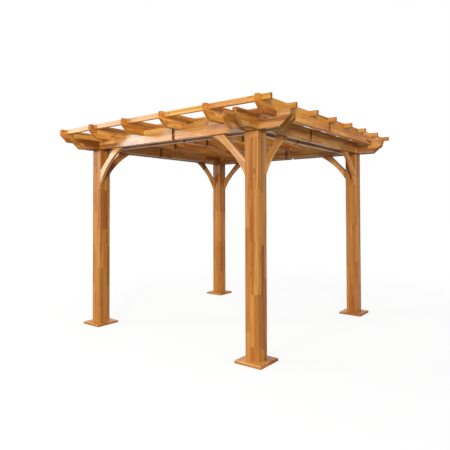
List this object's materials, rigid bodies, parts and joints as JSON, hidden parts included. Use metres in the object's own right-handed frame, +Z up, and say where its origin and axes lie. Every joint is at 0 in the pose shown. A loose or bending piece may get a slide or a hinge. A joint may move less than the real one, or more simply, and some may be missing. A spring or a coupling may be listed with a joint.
{
  "type": "wooden pergola",
  "caption": "Free-standing garden pergola: square posts on flat feet, paired headers with sloping ends, notched rafters, slats let in on top and arched corner braces.",
  "frame": {"origin": "on the ground below the middle of the whole outline, a little off the middle of the posts", "axes": "+Z up; Y along the rafters, front at -Y; X along the slats, left at -X"},
  "size_m": [3.011, 3.014, 2.279],
  "materials": {
    "post_wood": "satin orange-brown stain, grain and glue lines showing",
    "foot_wood": "satin orange-brown stain, grain and glue lines showing",
    "header_wood": "satin orange-brown stain, grain and glue lines showing",
    "rafter_wood": "satin orange-brown stain, grain and glue lines showing",
    "slat_wood": "satin orange-brown stain, grain and glue lines showing",
    "brace_wood": "satin orange-brown stain, grain and glue lines showing",
    "tongue_wood": "satin orange-brown stain, grain and glue lines showing"
  },
  "bodies": {
    "root": {"post_front_left": "post_wood", "foot_front_left": "foot_wood", "brace_front_left_x": "brace_wood", "brace_front_left_y": "brace_wood", "post_front_right": "post_wood", "foot_front_right": "foot_wood", "brace_front_right_x": "brace_wood", "brace_front_right_y": "brace_wood", "post_back_left": "post_wood", "foot_back_left": "foot_wood", "brace_back_left_x": "brace_wood", "brace_back_left_y": "brace_wood", "post_back_right": "post_wood", "foot_back_right": "foot_wood", "brace_back_right_x": "brace_wood", "brace_back_right_y": "brace_wood", "header_front_outer": "header_wood", "header_front_inner": "header_wood", "header_back_inner": "header_wood", "header_back_outer": "header_wood", "header_left_outer": "header_wood", "header_left_inner": "header_wood", "header_right_inner": "header_wood", "header_right_outer": "header_wood", "header_tongues": "tongue_wood", "rafter_1": "rafter_wood", "rafter_2": "rafter_wood", "rafter_3": "rafter_wood", "rafter_4": "rafter_wood", "rafter_5": "rafter_wood", "rafter_6": "rafter_wood", "rafter_tongues": "tongue_wood", "slat_1": "slat_wood", "slat_2": "slat_wood", "slat_3": "slat_wood", "slat_4": "slat_wood", "slat_5": "slat_wood", "slat_6": "slat_wood", "slat_7": "slat_wood", "slat_8": "slat_wood"}
  },
  "joints": []
}
